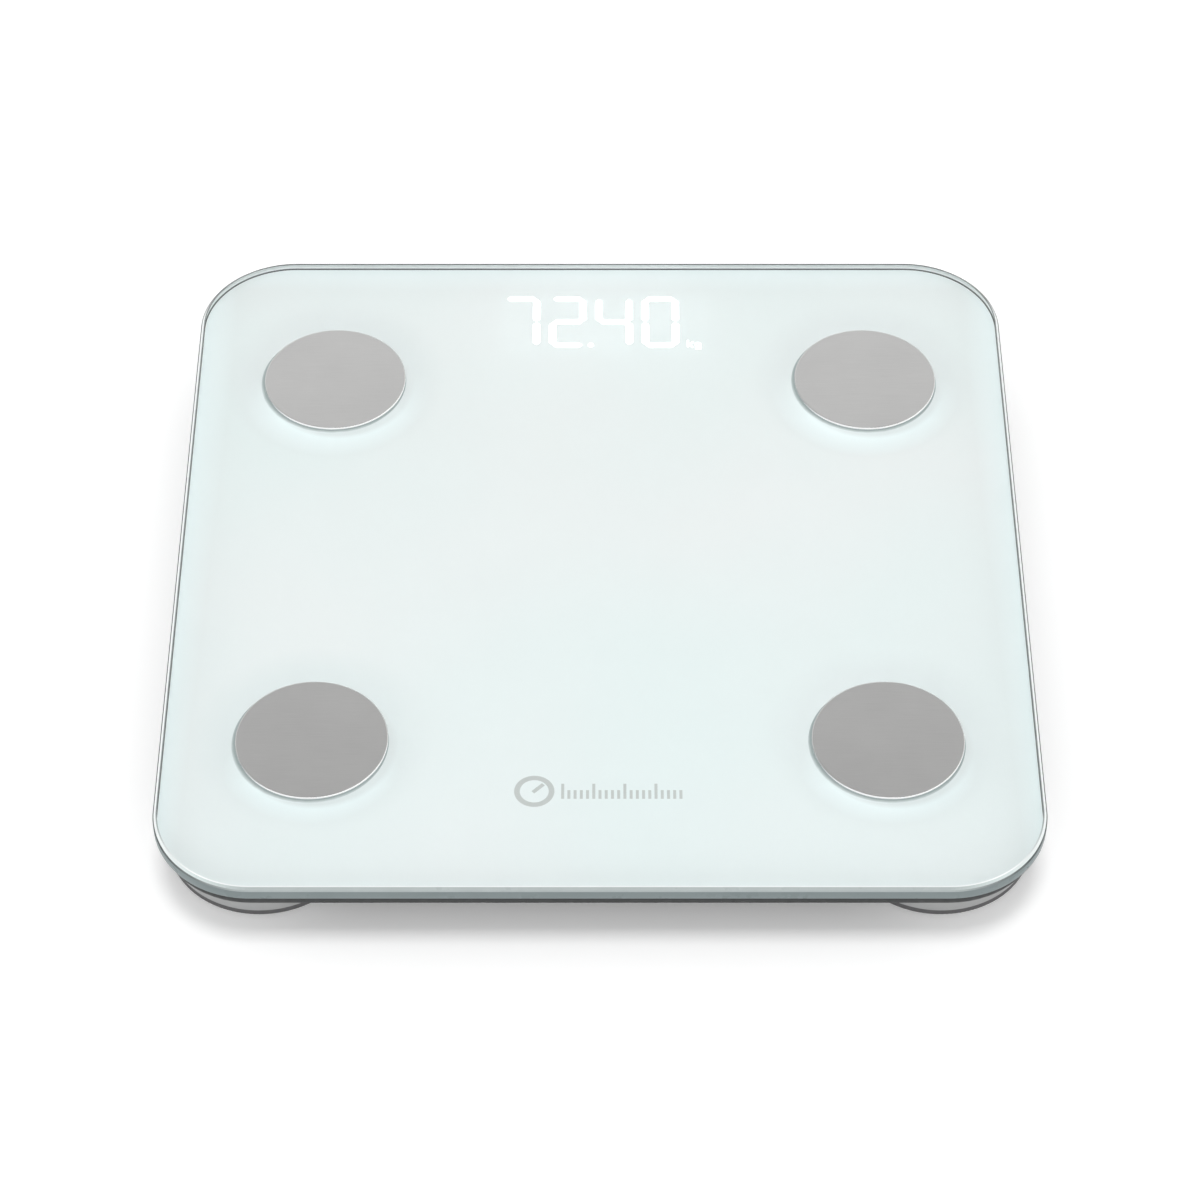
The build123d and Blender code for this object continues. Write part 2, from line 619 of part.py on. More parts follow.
DISPLAY_FRONT = DIGIT_Y - HOUSING_DEPTH / 2
BOARD_REAR = BOARD_Y + BOARD_DEPTH / 2
with BuildPart() as display_ribbon:
    with BuildSketch(Plane.YZ.offset(-RIBBON_WIDTH / 2)) as ribbon_profile:
        with BuildLine():
            FilletPolyline(
                (BOARD_REAR, BOARD_BOTTOM + 0.5),
                (BOARD_REAR + RIBBON_LEAD_IN, BOARD_BOTTOM + 0.5),
                (DISPLAY_FRONT - RIBBON_LEAD_IN, SHELL_FLOOR + 0.4),
                (DISPLAY_FRONT, SHELL_FLOOR + 0.4),
                radius=RIBBON_BEND,
            )
        trace(line_width=RIBBON_THICKNESS)
    extrude(amount=RIBBON_WIDTH)
display_ribbon.part.label = "display_ribbon"
export_step(display_ribbon.part, "parts/display_ribbon.step")

# ---- Main board ---------------------------------------------------------------------------------

with BuildPart() as main_board:
    with BuildSketch(Plane((0, BOARD_Y, BOARD_BOTTOM))):
        RectangleRounded(BOARD_WIDTH, BOARD_DEPTH, 1.5)
        with GridLocations(*BOARD_SCREW_SPACING, 2, 2):
            Circle(BOARD_SCREW_RADIUS + 0.3, mode=Mode.SUBTRACT)
    extrude(amount=BOARD_THICKNESS)
main_board.part.label = "main_board"
export_step(main_board.part, "parts/main_board.step")

with BuildPart() as board_screws:
    with BuildSketch(Plane((0, BOARD_Y, SHELL_FLOOR - 0.3))):
        with GridLocations(*BOARD_SCREW_SPACING, 2, 2):
            Circle(BOARD_SCREW_RADIUS)
    extrude(amount=BOARD_TOP - SHELL_FLOOR + 0.3)
    with BuildSketch(Plane((0, BOARD_Y, BOARD_TOP))):
        with GridLocations(*BOARD_SCREW_SPACING, 2, 2):
            Circle(BOARD_SCREW_HEAD_RADIUS)
    extrude(amount=BOARD_SCREW_HEAD)
board_screws.part.label = "board_screws"
export_step(board_screws.part, "parts/board_screws.step")

with BuildPart() as microcontroller:
    with BuildSketch(Plane((*CHIP_PLACE, BOARD_BOTTOM - CHIP_HEIGHT))):
        Rectangle(CHIP_SIZE, CHIP_SIZE)
    extrude(amount=CHIP_HEIGHT)
    upright = microcontroller.edges().filter_by(Axis.Z)
    chamfer(upright, 0.3)
microcontroller.part.label = "microcontroller"
export_step(microcontroller.part, "parts/microcontroller.step")

with BuildPart() as radio_module:
    radio_x, radio_y = RADIO_PLACE
    length, width, board = RADIO_BOARD_SIZE
    can_length, can_width, can_height = RADIO_CAN_SIZE
    with BuildSketch(Plane((radio_x, radio_y, BOARD_BOTTOM - board))):
        Rectangle(length, width)
    extrude(amount=board)
    with BuildSketch(Plane((radio_x + RADIO_CAN_OFFSET, radio_y, BOARD_BOTTOM - board - can_height))):
        RectangleRounded(can_length, can_width, 0.6)
    extrude(amount=can_height)
radio_module.part.label = "radio_module"
export_step(radio_module.part, "parts/radio_module.step")

SIDE_CONNECTOR_HALF = 16.0
FRONT_CONNECTOR_HALF = 15.0
FRONT_CONNECTOR_DEPTH = 2.5
BOARD_FRONT = BOARD_Y - BOARD_DEPTH / 2
with BuildPart() as board_connectors:
    for side in (-1, 1):
        left, right = sorted((side * BOARD_WIDTH / 2, side * (BOARD_WIDTH / 2 - CONNECTOR_DEPTH)))
        box_between(
            (left, BOARD_Y - SIDE_CONNECTOR_HALF, CONNECTOR_BOTTOM),
            (right, BOARD_Y + SIDE_CONNECTOR_HALF, BOARD_BOTTOM),
        )
    box_between(
        (-FRONT_CONNECTOR_HALF, BOARD_FRONT, CONNECTOR_BOTTOM),
        (FRONT_CONNECTOR_HALF, BOARD_FRONT + FRONT_CONNECTOR_DEPTH, BOARD_BOTTOM),
    )
board_connectors.part.label = "board_connectors"
export_step(board_connectors.part, "parts/board_connectors.step")

with BuildPart() as unit_switch:
    with BuildSketch(Plane((BUTTON_X, BUTTON_Y, SWITCH_PLUNGER + 0.15))):
        RectangleRounded(SWITCH_SIZE, SWITCH_SIZE, 0.3)
    extrude(amount=BOARD_BOTTOM - SWITCH_PLUNGER - 0.15)
    with BuildSketch(Plane((BUTTON_X, BUTTON_Y, SWITCH_PLUNGER))):
        Circle(1.2)
    extrude(amount=0.3)
unit_switch.part.label = "unit_switch"
export_step(unit_switch.part, "parts/unit_switch.step")

with BuildPart() as unit_button:
    with BuildSketch(Plane((BUTTON_X, BUTTON_Y, BUTTON_BOTTOM))):
        Circle(BUTTON_RADIUS)
    extrude(amount=BUTTON_TOP - BUTTON_BOTTOM)
    lower_rim = unit_button.faces().sort_by(Axis.Z)[0].edges()
    fillet(lower_rim, 0.4)
    with BuildSketch(Plane((BUTTON_X, BUTTON_Y, SHELL_FLOOR + 0.05))):
        Circle(BUTTON_FLANGE)
    extrude(amount=BUTTON_TOP - SHELL_FLOOR - 0.05)
unit_button.part.label = "unit_button"
export_step(unit_button.part, "parts/unit_button.step")

# ---- Batteries and their contacts ---------------------------------------------------------------

CONTACT_X = BAY_HALF_LENGTH - CONTACT_THICKNESS
SPRING_HEIGHT = 2 * CONTACT_X - BATTERY_LENGTH

for index, y in enumerate(CELL_YS):
    facing = 1 if index % 2 == 0 else -1
    name = f"battery_{index + 1}"
    negative_end = Plane((-facing * (CONTACT_X - SPRING_HEIGHT), y, BATTERY_Z), z_dir=(facing, 0, 0))
    with BuildPart() as battery:
        with BuildSketch(negative_end):
            Circle(BATTERY_RADIUS)
        extrude(amount=BATTERY_LENGTH - NUB_LENGTH)
        end_rims = battery.edges().filter_by(GeomType.CIRCLE)
        fillet(end_rims, 0.5)
        with BuildSketch(negative_end.offset(BATTERY_LENGTH - NUB_LENGTH)):
            Circle(NUB_RADIUS)
        extrude(amount=NUB_LENGTH)
    battery.part.label = name
    export_step(battery.part, f"parts/{name}.step")

with BuildPart() as battery_springs:
    for index, y in enumerate(CELL_YS):
        facing = 1 if index % 2 == 0 else -1
        seat = (-facing * (CONTACT_X - SPRING_WIRE_RADIUS), y, BATTERY_Z)
        rise = SPRING_HEIGHT - 2 * SPRING_WIRE_RADIUS
        with BuildLine() as coil:
            Helix(rise / SPRING_TURNS, rise, SPRING_RADIUS, center=seat, direction=(facing, 0, 0))
        with BuildSketch(Plane(coil.line @ 0, z_dir=coil.line % 0)):
            Circle(SPRING_WIRE_RADIUS)
        sweep(path=coil.line, is_frenet=True)
battery_springs.part.label = "battery_springs"
export_step(battery_springs.part, "parts/battery_springs.step")

# Contact plates: one plate spans two cells at each end, so that the three cells are in series.
PLATE_HEIGHT = 8.4
with BuildPart() as battery_contacts:
    for side, cells in ((-1, (0, 1)), (-1, (2, 2)), (1, (0, 0)), (1, (1, 2))):
        low, high = CELL_YS[cells[0]], CELL_YS[cells[1]]
        middle = (side * CONTACT_X, (low + high) / 2, BATTERY_Z)
        with BuildSketch(Plane(middle, x_dir=(0, 1, 0), z_dir=(side, 0, 0))):
            RectangleRounded(high - low + PLATE_HEIGHT, PLATE_HEIGHT, 1.0)
        extrude(amount=CONTACT_THICKNESS)
battery_contacts.part.label = "battery_contacts"
export_step(battery_contacts.part, "parts/battery_contacts.step")

# ---- Battery door -------------------------------------------------------------------------------

with BuildPart() as battery_door:
    with BuildSketch(Plane.XZ.offset(-BAY_Y - DOOR_HALF_WIDTH)):
        Polygon(
            (DOOR_LEFT, DOOR_TOP),
            (DOOR_RIGHT, DOOR_TOP),
            (DOOR_RIGHT, BAY_BOTTOM),
            (DOOR_LEFT + DOOR_NOSE, BAY_BOTTOM),
            (DOOR_LEFT, HOOK_BOTTOM),
            align=None,
        )
    extrude(amount=2 * DOOR_HALF_WIDTH)
    for y in HOOK_YS:
        box_between(
            (DOOR_LEFT - HOOK_LENGTH, y - HOOK_WIDTH / 2, HOOK_BOTTOM),
            (DOOR_LEFT + 1.0, y + HOOK_WIDTH / 2, DOOR_TOP),
        )
    # Springy latch loop, with its finger end just clear of the door's edge
    with BuildSketch(Plane.XZ.offset(-BAY_Y - LATCH_WIDTH / 2)):
        with BuildLine():
            inner_leg = DOOR_RIGHT - LATCH_THICKNESS / 2
            outer_leg = inner_leg + LATCH_LOOP
            bend = LATCH_TOP - LATCH_THICKNESS / 2
            FilletPolyline(
                (inner_leg, DOOR_TOP - 0.6),
                (inner_leg, bend),
                (outer_leg, bend),
                (outer_leg, BAY_BOTTOM + 0.4),
                radius=0.75,
            )
        trace(line_width=LATCH_THICKNESS)
    extrude(amount=LATCH_WIDTH)
    # Finger grooves beside the latch
    for index in range(GRIP_GROOVES):
        x = DOOR_RIGHT - 5.0 - GRIP_PITCH * index
        box_between(
            (x, BAY_Y - GRIP_HALF_LENGTH, BAY_BOTTOM),
            (x + GRIP_WIDTH, BAY_Y + GRIP_HALF_LENGTH, BAY_BOTTOM + GRIP_DEPTH),
            mode=Mode.SUBTRACT,
        )
battery_door.part.label = "battery_door"
export_step(battery_door.part, "parts/battery_door.step")

# ---- Load cells, brackets and feet --------------------------------------------------------------


def make_load_cell(sx, sy):
    """Half-bridge cell: a square frame with an inner tongue that the foot pushes on."""
    with BuildPart() as load_cell:
        with BuildSketch(corner_plane(sx, sy, CELL_BOTTOM)):
            RectangleRounded(CELL_SIZE, CELL_SIZE, 3.0)
            for side in (-1, 1):
                with Locations((0, side * CELL_SLOT_REACH)):
                    Rectangle(2 * CELL_SLOT_REACH + CELL_SLOT, CELL_SLOT, mode=Mode.SUBTRACT)
            with Locations((CELL_SLOT_REACH, 0)):
                Rectangle(CELL_SLOT, 2 * CELL_SLOT_REACH, mode=Mode.SUBTRACT)
            Circle(FOOT_SCREW_RADIUS + 0.35, mode=Mode.SUBTRACT)
        extrude(amount=CELL_THICKNESS)
    return load_cell


def make_bracket(sx, sy):
    """Plastic frame that holds the cell's rim and is screwed to the shell by two ears."""
    with BuildPart() as bracket:
        with BuildSketch(corner_plane(sx, sy, CELL_BOTTOM - BRACKET_LIP)):
            RectangleRounded(BRACKET_SIZE, BRACKET_SIZE, 4.0)
        extrude(amount=SHELL_BOTTOM - CELL_BOTTOM + BRACKET_LIP)
        with BuildSketch(corner_plane(sx, sy, SHELL_BOTTOM - EAR_THICKNESS)):
            with Locations((-EAR_OFFSET, 0), (EAR_OFFSET, 0)):
                Circle(EAR_RADIUS)
        extrude(amount=EAR_THICKNESS)
        with BuildSketch(corner_plane(sx, sy, CELL_BOTTOM - BRACKET_LIP)):
            Rectangle(CELL_SIZE + 0.2, CELL_SIZE - 1.8)
        extrude(amount=BRACKET_LIP, mode=Mode.SUBTRACT)
        with BuildSketch(corner_plane(sx, sy, CELL_BOTTOM)):
            RectangleRounded(CELL_SIZE + 0.2, CELL_SIZE + 0.2, 3.0)
        extrude(amount=CELL_THICKNESS, mode=Mode.SUBTRACT)
        with BuildSketch(corner_plane(sx, sy, CELL_TOP)):
            RectangleRounded(BRACKET_OPENING, BRACKET_OPENING, 2.0)
        extrude(amount=SHELL_BOTTOM - CELL_TOP, mode=Mode.SUBTRACT)
        with BuildSketch(corner_plane(sx, sy, SHELL_BOTTOM - EAR_THICKNESS)):
            with Locations((-EAR_OFFSET, 0), (EAR_OFFSET, 0)):
                Circle(BRACKET_SCREW_RADIUS + 0.2)
        extrude(amount=EAR_THICKNESS, mode=Mode.SUBTRACT)
    return bracket


def make_cup(sx, sy):
    """Round foot cup with a centre boss under the cell's tongue and radial ribs."""
    with BuildPart() as cup:
        with BuildSketch(corner_plane(sx, sy, PAD_THICKNESS)):
            Circle(FOOT_RADIUS)
        extrude(amount=CUP_TOP - PAD_THICKNESS)
        top_edge = cup.faces().sort_by(Axis.Z)[-1].edges()
        fillet(top_edge, CUP_EDGE_RADIUS)
        with BuildSketch(corner_plane(sx, sy, CUP_FLOOR)):
            Circle(FOOT_RADIUS - CUP_WALL)
        extrude(amount=CUP_TOP - CUP_FLOOR, mode=Mode.SUBTRACT)
        with BuildSketch(corner_plane(sx, sy, CUP_FLOOR - JOIN)):
            with PolarLocations(CUP_RIB_START + CUP_RIB_LENGTH / 2, 6):
                Rectangle(CUP_RIB_LENGTH, CUP_RIB_WIDTH)
        extrude(amount=CUP_RIB_TOP - CUP_FLOOR + JOIN)
        with BuildSketch(corner_plane(sx, sy, CUP_FLOOR - JOIN)):
            Circle(BOSS_RADIUS)
        extrude(amount=CELL_BOTTOM - CUP_FLOOR + JOIN)
        with BuildSketch(corner_plane(sx, sy, CUP_FLOOR)):
            Circle(FOOT_SCREW_RADIUS)
        extrude(amount=CELL_BOTTOM - CUP_FLOOR, mode=Mode.SUBTRACT)
    return cup


def make_pad(sx, sy):
    """Rubber foot pad with concentric tread grooves."""
    with BuildPart() as pad:
        with BuildSketch(corner_plane(sx, sy, 0)):
            Circle(FOOT_RADIUS)
        extrude(amount=PAD_THICKNESS)
        floor_edge = pad.faces().sort_by(Axis.Z)[0].edges()
        fillet(floor_edge, PAD_EDGE_RADIUS)
        with BuildSketch(corner_plane(sx, sy, 0)):
            # Largest ring first, because each ring's inner circle clears the space inside it.
            for radius in TREAD_RADII:
                Circle(radius + TREAD_WIDTH / 2)
                Circle(radius - TREAD_WIDTH / 2, mode=Mode.SUBTRACT)
        extrude(amount=TREAD_DEPTH, mode=Mode.SUBTRACT)
    return pad


def make_foot_screw(sx, sy):
    """Flat-headed screw from the cell's tongue into the cup's boss."""
    with BuildPart() as screw:
        with BuildSketch(corner_plane(sx, sy, CUP_FLOOR + 0.3)):
            Circle(FOOT_SCREW_RADIUS)
        extrude(amount=CELL_TOP - CUP_FLOOR - 0.3)
        with BuildSketch(corner_plane(sx, sy, CELL_TOP)):
            Circle(FOOT_SCREW_HEAD_RADIUS)
        extrude(amount=FOOT_SCREW_HEAD)
    return screw


FOOT_PIECES = {
    "load_cell": make_load_cell,
    "load_cell_bracket": make_bracket,
    "foot_cup": make_cup,
    "foot_pad": make_pad,
    "foot_screw": make_foot_screw,
}
for corner, sx, sy in CORNERS:
    for kind, make in FOOT_PIECES.items():
        name = f"{kind}_{corner}"
        piece = make(sx, sy)
        piece.part.label = name
        export_step(piece.part, f"parts/{name}.step")

with BuildPart() as strain_gauges:
    for _, sx, sy in CORNERS:
        with BuildSketch(corner_plane(sx, sy, CELL_TOP)):
            with Locations((-GAUGE_OFFSET, 0)):
                Rectangle(*GAUGE_SIZE)
        extrude(amount=GAUGE_THICKNESS)
strain_gauges.part.label = "strain_gauges"
export_step(strain_gauges.part, "parts/strain_gauges.step")

EAR_BOTTOM = SHELL_BOTTOM - EAR_THICKNESS
with BuildPart() as bracket_screws:
    for place in BRACKET_SCREW_PLACES:
        with BuildSketch(Plane((place.X, place.Y, EAR_BOTTOM))):
            Circle(BRACKET_SCREW_RADIUS)
        extrude(amount=EAR_THICKNESS + BRACKET_SCREW_DEPTH)
        with BuildSketch(Plane((place.X, place.Y, EAR_BOTTOM - BRACKET_SCREW_HEAD))):
            Circle(BRACKET_SCREW_HEAD_RADIUS)
        extrude(amount=BRACKET_SCREW_HEAD)
bracket_screws.part.label = "bracket_screws"
export_step(bracket_screws.part, "parts/bracket_screws.step")

# ---- Internal leads -----------------------------------------------------------------------------

# Routes for the right-hand side, in plan; each is mirrored to the left.
CONNECTOR_X = BOARD_WIDTH / 2
TAB_X = ELECTRODE_X - TERMINAL_TAB
TAB_UNDERSIDE = PRINT_BOTTOM - TERMINAL_THICKNESS - LEAD_RADIUS
GAUGE_X = FOOT_X - GAUGE_OFFSET

LOAD_CELL_ROUTES = {
    "rear": [(94, 103), (80, 97), (60, 86), (44, 78), (CONNECTOR_X, 78)],
    "front": [(92, -104), (68, -94), (50, -72), (50, 30), (43, 54), (CONNECTOR_X, 54)],
}
ELECTRODE_ROUTES = {
    "rear": [(80, 83), (62, 76), (44, 72), (CONNECTOR_X, 72)],
    "front": [(78, -83), (57, -64), (57, 30), (50, 56), (40, 61), (CONNECTOR_X, 61)],
}
BATTERY_ROUTES = {
    -1: [(34, CELL_YS[2]), (37, 30), (26, 41), (10, 44), (10, BOARD_FRONT)],
    1: [(34, CELL_YS[0]), (39, 12), (37, 30), (26, 41), (10, 44), (10, BOARD_FRONT)],
}


def make_lead(points, radius):
    """A round lead along a rounded polyline."""
    with BuildPart() as lead:
        with BuildLine() as route:
            FilletPolyline(*points, radius=radius)
        with BuildSketch(Plane(route.line @ 0, z_dir=route.line % 0)):
            Circle(LEAD_RADIUS)
        sweep(path=route.line)
    return lead.part


def load_cell_route(sx, sy):
    """Up from the strain gauge through the shell's floor, then along it to the board."""
    plan = LOAD_CELL_ROUTES["rear" if sy > 0 else "front"]
    gauge = (sx * GAUGE_X, sy * FOOT_Y)
    rise = [(*gauge, CELL_TOP + GAUGE_THICKNESS), (*gauge, LEAD_Z)]
    return rise + [(sx * x, y, LEAD_Z) for x, y in plan]


def electrode_route(sx, sy):
    """Down from the ring terminal's tab, then along the shell's floor to the board."""
    plan = ELECTRODE_ROUTES["rear" if sy > 0 else "front"]
    return [(sx * TAB_X, sy * ELECTRODE_Y, TAB_UNDERSIDE)] + [(sx * x, y, LEAD_Z) for x, y in plan]


def battery_route(side):
    """From a contact plate through the bay's end wall to the front of the board."""
    plan = [(BAY_HALF_LENGTH, CELL_YS[1 - side])] + BATTERY_ROUTES[side]
    return [(side * x, y, LEAD_Z) for x, y in plan]


load_cell_lead_list = [make_lead(load_cell_route(sx, sy), radius=1.5) for _, sx, sy in CORNERS]
with BuildPart() as load_cell_leads:
    add(load_cell_lead_list)
load_cell_leads.part.label = "load_cell_leads"
export_step(load_cell_leads.part, "parts/load_cell_leads.step")

electrode_lead_list = [make_lead(electrode_route(sx, sy), radius=3.0) for _, sx, sy in CORNERS]
with BuildPart() as electrode_leads:
    add(electrode_lead_list)
electrode_leads.part.label = "electrode_leads"
export_step(electrode_leads.part, "parts/electrode_leads.step")

battery_lead_list = [make_lead(battery_route(side), radius=1.5) for side in (-1, 1)]
with BuildPart() as battery_leads:
    add(battery_lead_list)
battery_leads.part.label = "battery_leads"
export_step(battery_leads.part, "parts/battery_leads.step")
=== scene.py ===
import math

import bmesh
import bpy
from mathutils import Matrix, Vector


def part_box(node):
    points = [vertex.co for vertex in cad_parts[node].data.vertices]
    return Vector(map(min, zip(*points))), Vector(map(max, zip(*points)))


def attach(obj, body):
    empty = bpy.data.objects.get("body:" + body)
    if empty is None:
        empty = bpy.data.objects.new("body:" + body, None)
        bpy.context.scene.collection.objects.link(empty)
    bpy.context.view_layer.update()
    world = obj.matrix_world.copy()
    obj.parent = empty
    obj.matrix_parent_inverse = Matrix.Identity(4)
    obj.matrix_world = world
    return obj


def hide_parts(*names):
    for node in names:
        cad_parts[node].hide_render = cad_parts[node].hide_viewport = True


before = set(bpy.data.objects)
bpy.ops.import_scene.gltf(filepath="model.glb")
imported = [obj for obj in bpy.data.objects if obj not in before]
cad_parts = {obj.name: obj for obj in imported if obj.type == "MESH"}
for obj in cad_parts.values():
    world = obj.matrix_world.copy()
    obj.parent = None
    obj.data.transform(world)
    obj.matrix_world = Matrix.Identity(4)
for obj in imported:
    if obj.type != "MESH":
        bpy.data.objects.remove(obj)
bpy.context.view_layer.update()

# Digital bathroom scale. Metres, in the row frame: +Z up, +Y towards the display, floor at z = 0.

MM = 0.001
CORNERS = ("front_left", "front_right", "rear_left", "rear_right")

glass_low, glass_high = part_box("glass_plate")
GLASS_TOP = glass_high[2]
GLASS_BOTTOM = glass_low[2]

# The four electrodes are alike, and stand symmetrically about both axes.
disc_low, disc_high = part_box("electrode_rear_right")
DISC_RADIUS = (disc_high[0] - disc_low[0]) / 2

scene = bpy.context.scene


# ---- Material helpers ---------------------------------------------------------------------------


class Shader:
    """A node material in the making, with the few node kinds that this scene uses."""

    def __init__(self, name):
        self.material = bpy.data.materials.new(name)
        self.material.use_nodes = True
        self.nodes = self.material.node_tree.nodes
        self.links = self.material.node_tree.links
        self.surface = self.nodes["Principled BSDF"]
        self.place = self.nodes.new("ShaderNodeTexCoord").outputs["Object"]

    def feed(self, target, value):
        """Links a socket to an input, or sets the input to a number or a colour."""
        if isinstance(value, bpy.types.NodeSocket):
            self.links.new(value, target)
        elif isinstance(value, tuple):
            target.default_value = (*value, 1.0)
        else:
            target.default_value = value

    def plain(self, **values):
        """Sets constant inputs of the Principled node; underscores stand for spaces."""
        for key, value in values.items():
            self.feed(self.surface.inputs[key.replace("_", " ")], value)

    def drive(self, key, socket):
        """Links a socket to an input of the Principled node."""
        self.links.new(socket, self.surface.inputs[key])

    def mapped(self, scale):
        """The object coordinates, stretched by one number per axis."""
        node = self.nodes.new("ShaderNodeMapping")
        node.inputs["Scale"].default_value = scale
        self.links.new(self.place, node.inputs["Vector"])
        return node.outputs["Vector"]

    def noise(self, scale, detail=3.0, vector=None):
        """Fractal noise, 0 to 1; scale is in waves per metre."""
        node = self.nodes.new("ShaderNodeTexNoise")
        node.inputs["Scale"].default_value = scale
        node.inputs["Detail"].default_value = detail
        self.links.new(vector or self.place, node.inputs["Vector"])
        return node.outputs["Fac"]

    def lines(self, scale, detail):
        """Noise stretched into fine lines; scale is in waves per metre along each axis."""
        return self.noise(1.0, detail, self.mapped(scale))

    def spread(self, value, low, high, start=0.3, end=0.7):
        """Maps start..end of a value onto low..high, without overshoot."""
        node = self.nodes.new("ShaderNodeMapRange")
        node.inputs["From Min"].default_value = start
        node.inputs["From Max"].default_value = end
        node.inputs["To Min"].default_value = low
        node.inputs["To Max"].default_value = high
        self.links.new(value, node.inputs["Value"])
        return node.outputs["Result"]

    def blend(self, factor, first, second):
        """A colour between two others; each is a colour or a socket."""
        node = self.nodes.new("ShaderNodeMix")
        node.data_type = "RGBA"
        self.feed(node.inputs["Factor"], factor)
        colours = [socket for socket in node.inputs if socket.type == "RGBA"]
        for socket, value in zip(colours, (first, second)):
            self.feed(socket, value)
        return next(socket for socket in node.outputs if socket.type == "RGBA")

    def maths(self, operation, first, second=0.0):
        """One arithmetic step on sockets or numbers."""
        node = self.nodes.new("ShaderNodeMath")
        node.operation = operation
        for socket, value in zip(node.inputs, (first, second)):
            self.feed(socket, value)
        return node.outputs[0]

    def split(self, vector):
        """The x, y and z of a vector socket."""
        node = self.nodes.new("ShaderNodeSeparateXYZ")
        self.links.new(vector, node.inputs[0])
        return node.outputs

    def facing(self, smooth=True):
        """The x, y and z of the surface's direction."""
        directions = self.nodes.new("ShaderNodeNewGeometry").outputs
        return self.split(directions["Normal" if smooth else "True Normal"])

    def ramp(self, value, stops):
        """Grey or coloured bands along a value from 0 to 1; stops are (position, colour)."""
        node = self.nodes.new("ShaderNodeValToRGB")
        elements = node.color_ramp.elements
        for _ in stops[2:]:
            elements.new(0.5)
        for element, (position, colour) in zip(elements, stops):
            element.position = position
            element.color = (*colour, 1.0)
        self.links.new(value, node.inputs["Fac"])
        return node.outputs["Color"]

    def bump(self, height, distance):
        """Feeds a height, in units of distance metres, into the surface normal."""
        node = self.nodes.new("ShaderNodeBump")
        node.inputs["Distance"].default_value = distance
        self.links.new(height, node.inputs["Height"])
        self.links.new(node.outputs["Normal"], self.surface.inputs["Normal"])


def shaded(colour, share):
    """A colour darkened by a share of itself."""
    return tuple(part * (1.0 - share) for part in colour)


def moulded(name, colour, roughness=0.5, grain=9000.0, depth=0.02 * MM, contrast=0.06):
    """Fine-textured moulded plastic or rubber with slight mottling."""
    shader = Shader(name)
    mottling = shader.noise(90.0)
    shader.drive("Base Color", shader.blend(mottling, shaded(colour, contrast), colour))
    wear = shader.noise(400.0)
    shader.drive("Roughness", shader.spread(wear, roughness - 0.06, roughness + 0.06))
    shader.bump(shader.noise(grain, 2.0), depth)
    return shader.material


def metal(name, colour, roughness=0.3):
    """Metal with fine drawn lines along X."""
    shader = Shader(name)
    lines = shader.lines((60.0, 4000.0, 60.0), 4.0)
    shader.plain(Metallic=1.0)
    shader.drive("Base Color", shader.blend(lines, shaded(colour, 0.1), colour))
    shader.drive("Roughness", shader.spread(lines, roughness - 0.05, roughness + 0.07))
    shader.bump(lines, 0.004 * MM)
    return shader.material


# ---- Materials ----------------------------------------------------------------------------------

# Painted light on the print: paler towards its rim, most at its sides, and a little paler in front.
RIM_REACH = 13.0 * MM
RIM_SIDES = 1.0
RIM_ENDS = 0.9
FRONT_LIGHT = 0.35

# A painted halo of light below each electrode: distances from its rim, and from its middle along Y.
HALO_SHIFT = (0.0, -2.0 * MM)
HALO_START = -1.0 * MM
HALO_REACH = 9.0 * MM
HALO_FULL = -16.0 * MM
HALO_NONE = 8.0 * MM

# A ring of painted shade round each electrode, and its painted soft shadow to one side.
DIM_SHIFT = (0.0, 3.7 * MM)
DIM_START = 5.0 * MM
DIM_REACH = 16.0 * MM
SHADE_SHIFT = (1.8 * MM, 0.0)
SHADE_START = -0.4 * MM
SHADE_REACH = 1.6 * MM
SHADE_DEPTH = 0.6

# Painted light of the figures round them, and the width over which the painted shadow ring's tone changes.
GLOW = 0.1
GLOW_REACH = 6.0 * MM
SHADOW_RING_REACH = 2.1 * MM

# The most that a bevel faces to either side, and the top arris to the front or rear.
BEVEL_TURN = 0.71
ARRIS_TURN = 0.22


def off_electrode(shader, shift=(0.0, 0.0)):
    """Distance from the nearest electrode's middle, moved by shift, and the part of it along Y."""
    squares = []
    for place, low, high, moved in zip(shader.split(shader.place), disc_low, disc_high, shift):
        middle = shader.maths("MULTIPLY", shader.maths("SIGN", place), (low + high) / 2)
        offset = shader.maths("SUBTRACT", shader.maths("SUBTRACT", place, middle), moved)
        squares.append(shader.maths("MULTIPLY", offset, offset))
    return shader.maths("SQRT", shader.maths("ADD", *squares)), offset


def round_disc(shader, away, strength, start, reach):
    """Strength that is full up to start past the electrode's rim, and fades to nothing at reach."""
    return shader.spread(away, strength, 0.0, DISC_RADIUS + start, DISC_RADIUS + reach)


def glass_material():
    """Clear polished glass of the plate's two faces."""
    shader = Shader("glass_faces")
    shader.plain(Transmission_Weight=1.0, Base_Color=(0.99, 0.999, 0.997), IOR=1.5)
    haze = shader.noise(35.0)
    shader.drive("Roughness", shader.spread(haze, 0.0, 0.015))
    return shader.material


def ground_edge(name, shine=1.0):
    """Start of a finely ground glass edge: fine grinding lines that run along the edge."""
    shader = Shader(name)
    shader.plain(Coat_Weight=0.3 * shine, Coat_Roughness=0.15, Specular_IOR_Level=0.5 * shine)
    smears = shader.noise(160.0)
    shader.drive("Roughness", shader.spread(smears, 0.25, 0.35))
    shader.bump(shader.lines((200.0, 200.0, 1500.0), 1.0), 0.004 * MM)
    return shader


def side_material():
    """Cloudy sea-green glass side."""
    shader = ground_edge("glass_side", shine=0.15)
    clouds = shader.noise(60.0, 1.0)
    shader.drive("Base Color", shader.blend(clouds, (0.192, 0.228, 0.231), (0.225, 0.263, 0.267)))
    return shader.material


